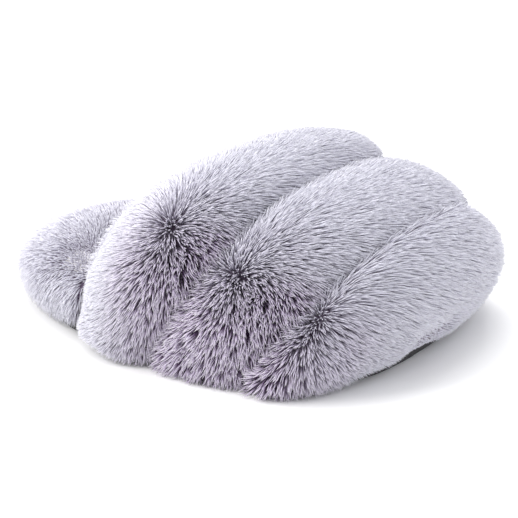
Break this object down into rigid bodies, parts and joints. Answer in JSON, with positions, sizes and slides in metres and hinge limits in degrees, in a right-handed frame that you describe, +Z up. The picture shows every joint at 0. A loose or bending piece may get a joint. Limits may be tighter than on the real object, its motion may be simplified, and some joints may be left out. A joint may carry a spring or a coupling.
{
  "type": "pet cave bed",
  "caption": "Low slipper-shaped pet bed in long pile plush: padded rim at the open mouth, quilted rib hood closed at the toe, loose inner cushion",
  "frame": {"origin": "middle of the underside's bounding box, on the floor", "axes": "+Z up; +Y along the bed from the open mouth to the closed toe; +X across the bed"},
  "size_m": [0.4348, 0.555, 0.2038],
  "materials": {
    "long_plush": "long pile plush, lilac grey with darker roots",
    "short_plush": "short pile plush, lilac grey",
    "cushion_plush": "short pile plush",
    "cushion_cloth": "plain woven polyester",
    "quilting_cloth": "plain woven polyester",
    "wadding": "loose polyester fibre",
    "base_cloth": "smooth black coated cloth",
    "base_binding": "woven black tape",
    "grip_rubber": "matt black with raised dots",
    "label_satin": "blank white satin"
  },
  "bodies": {
    "bed": {"base_cloth": "base_cloth", "grip_sheet": "grip_rubber", "base_binding": "base_binding", "base_pad": "wadding", "floor_cloth": "short_plush", "rim_cover": "long_plush", "rim_inner_wall": "short_plush", "rim_filling": "wadding", "rib_cover_front": "long_plush", "rib_cover_middle": "long_plush", "rib_cover_back": "long_plush", "rib_filling_front": "wadding", "rib_filling_middle": "wadding", "rib_filling_back": "wadding", "quilt_wall_front": "quilting_cloth", "quilt_wall_back": "quilting_cloth", "mouth_binding": "long_plush", "hood_lining": "short_plush", "care_label": "label_satin"},
    "cushion": {"cushion_top_cover": "cushion_plush", "cushion_bottom_cover": "cushion_cloth", "cushion_filling": "wadding"}
  },
  "joints": [
    {"name": "cushion_lift", "type": "slide", "parent": "bed", "child": "cushion", "axis": [0, 0, 1], "range_m": [0, 0.045]}
  ]
}
